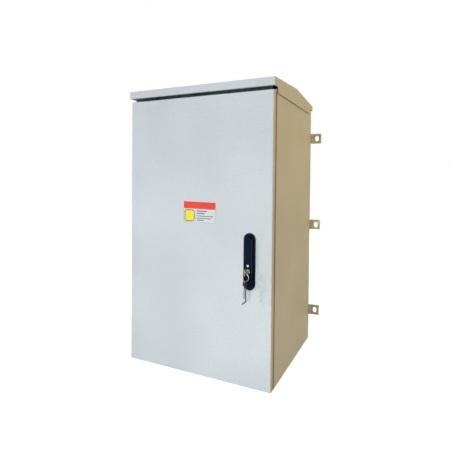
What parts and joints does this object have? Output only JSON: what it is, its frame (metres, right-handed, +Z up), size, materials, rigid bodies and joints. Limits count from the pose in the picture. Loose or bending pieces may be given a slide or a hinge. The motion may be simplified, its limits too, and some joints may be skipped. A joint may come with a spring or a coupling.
{
  "type": "traffic signal controller cabinet",
  "caption": "Outdoor sheet-steel cabinet with a rain roof, a full-front locking door and the controller of a traffic signal on its inner plate, fixed by slotted rear lugs.",
  "frame": {"origin": "middle of the case's underside", "axes": "+X to the right seen from the front, +Y towards the wall, +Z up"},
  "size_m": [0.576, 0.4711, 0.9049],
  "materials": {
    "powder_coat": "fine textured powder coat, light grey",
    "zinc_steel": "bright zinc-plated sheet",
    "plated_fasteners": "zinc-plated",
    "lug_steel": "yellow-passivated steel",
    "black_lock": "gloss black enamel on die-cast zinc",
    "bright_metal": "nickel-plated",
    "tool_steel": "oil-blackened steel wire",
    "foam_rubber": "closed-cell foam",
    "grommet_rubber": "moulded rubber",
    "filter_fleece": "white fleece",
    "grey_plastic": "moulded light grey plastic",
    "black_plastic": "moulded black plastic",
    "terminal_plastic": "moulded grey polyamide",
    "brass_bar": "drawn bar",
    "front_aluminium": "anodised sheet",
    "label_print": "printed film, plain colour fields"
  },
  "bodies": {
    "cabinet": {"case_shell": "powder_coat", "roof_canopy": "powder_coat", "roof_rails": "zinc_steel", "case_screws": "plated_fasteners", "mounting_lugs": "lug_steel", "lug_fasteners": "plated_fasteners", "gland_plate": "zinc_steel", "cable_grommets": "grommet_rubber", "filter_mat": "filter_fleece", "filter_frame": "zinc_steel", "hinge_case_leaves": "zinc_steel", "hinge_pins": "plated_fasteners", "keepers": "zinc_steel", "mounting_plate": "zinc_steel", "plate_fasteners": "plated_fasteners", "din_rails": "zinc_steel", "main_breaker": "grey_plastic", "rail_modules": "grey_plastic", "flasher_unit": "black_plastic", "thermostat": "grey_plastic", "terminal_blocks": "terminal_plastic", "trunking": "grey_plastic", "earth_bars": "brass_bar", "controller_case": "zinc_steel", "controller_front": "front_aluminium", "controller_handles": "bright_metal", "conflict_monitor": "black_plastic", "power_supply": "zinc_steel", "output_rack": "zinc_steel", "load_switches": "black_plastic", "fan_housing": "black_plastic", "cabinet_lamp": "grey_plastic", "door_switch": "black_plastic"},
    "door": {"door_panel": "powder_coat", "door_gasket": "foam_rubber", "door_stiffeners": "powder_coat", "document_pocket": "grey_plastic", "label_plate": "label_print", "lock_base": "black_lock", "lock_screws": "plated_fasteners", "hinge_door_leaves": "zinc_steel", "rod_guides": "zinc_steel", "gearcase": "zinc_steel"},
    "spindle": {"lock_spindle": "plated_fasteners", "drive_pinion": "plated_fasteners", "latch_tongue": "plated_fasteners"},
    "lever": {"swing_lever": "black_lock", "lever_pin": "plated_fasteners"},
    "barrel": {"lock_cylinder": "bright_metal", "lock_key": "bright_metal"},
    "ring": {"key_ring": "bright_metal"},
    "hanging_key": {"spare_key": "bright_metal"},
    "hanging_tool": {"wire_tool": "tool_steel"},
    "rod_up": {"upper_rod": "plated_fasteners"},
    "rod_down": {"lower_rod": "plated_fasteners"},
    "toggle": {"breaker_toggle": "black_plastic"},
    "rotor": {"fan_rotor": "black_plastic"},
    "dial": {"thermostat_dial": "black_plastic"},
    "bat": {"mode_switch": "bright_metal"},
    "plunger": {"switch_plunger": "grey_plastic"}
  },
  "joints": [
    {"name": "door_swing", "type": "hinge", "parent": "cabinet", "child": "door", "pos_m": [-0.243, -0.216, 0.43], "axis": [0, 0, -1], "range_deg": [0, 110]},
    {"name": "handle_turn", "type": "hinge", "parent": "door", "child": "spindle", "pos_m": [0.182, -0.2249, 0.4325], "axis": [0, 1, 0], "range_deg": [0, 90]},
    {"name": "lever_tilt", "type": "hinge", "parent": "spindle", "child": "lever", "pos_m": [0.182, -0.2322, 0.4325], "axis": [-1, 0, 0], "range_deg": [0, 35]},
    {"name": "key_turn", "type": "hinge", "parent": "lever", "child": "barrel", "pos_m": [0.182, -0.2377, 0.3435], "axis": [0, 1, 0], "range_deg": [0, 90]},
    {"name": "ring_swing", "type": "hinge", "parent": "barrel", "child": "ring", "pos_m": [0.182, -0.2561, 0.34115], "axis": [-1, 0, 0], "range_deg": [-6, 45]},
    {"name": "key_swing", "type": "hinge", "parent": "ring", "child": "hanging_key", "pos_m": [0.1794, -0.2561, 0.32017], "axis": [-1, 0, 0], "range_deg": [-6, 45]},
    {"name": "tool_swing", "type": "hinge", "parent": "ring", "child": "hanging_tool", "pos_m": [0.1846, -0.2561, 0.32017], "axis": [-1, 0, 0], "range_deg": [-6, 45]},
    {"name": "upper_rod_slide", "type": "slide", "parent": "door", "child": "rod_up", "axis": [0, 0, 1], "range_m": [-0.02004, 0]},
    {"name": "lower_rod_slide", "type": "slide", "parent": "door", "child": "rod_down", "axis": [0, 0, 1], "range_m": [0, 0.02004]},
    {"name": "breaker_throw", "type": "hinge", "parent": "cabinet", "child": "toggle", "pos_m": [-0.1621, 0.1035, 0.3], "axis": [1, 0, 0], "range_deg": [0, 44]},
    {"name": "fan_spin", "type": "hinge", "parent": "cabinet", "child": "rotor", "pos_m": [0, 0.02, 0.8435], "axis": [0, 0, 1], "continuous": true},
    {"name": "thermostat_turn", "type": "hinge", "parent": "cabinet", "child": "dial", "pos_m": [0.123, 0.1155, 0.308], "axis": [0, 1, 0], "range_deg": [0, 270]},
    {"name": "mode_throw", "type": "hinge", "parent": "cabinet", "child": "bat", "pos_m": [0.006, 0.012, 0.631], "axis": [1, 0, 0], "range_deg": [0, 28]},
    {"name": "plunger_press", "type": "slide", "parent": "cabinet", "child": "plunger", "axis": [0, 1, 0], "range_m": [0, 0.005], "stiffness_N_per_m": 200, "springref_m": -0.002}
  ],
  "couplings": [
    {"joint": "upper_rod_slide", "follows": "handle_turn", "m_per_rad": -0.01275},
    {"joint": "lower_rod_slide", "follows": "handle_turn", "m_per_rad": 0.01275}
  ]
}
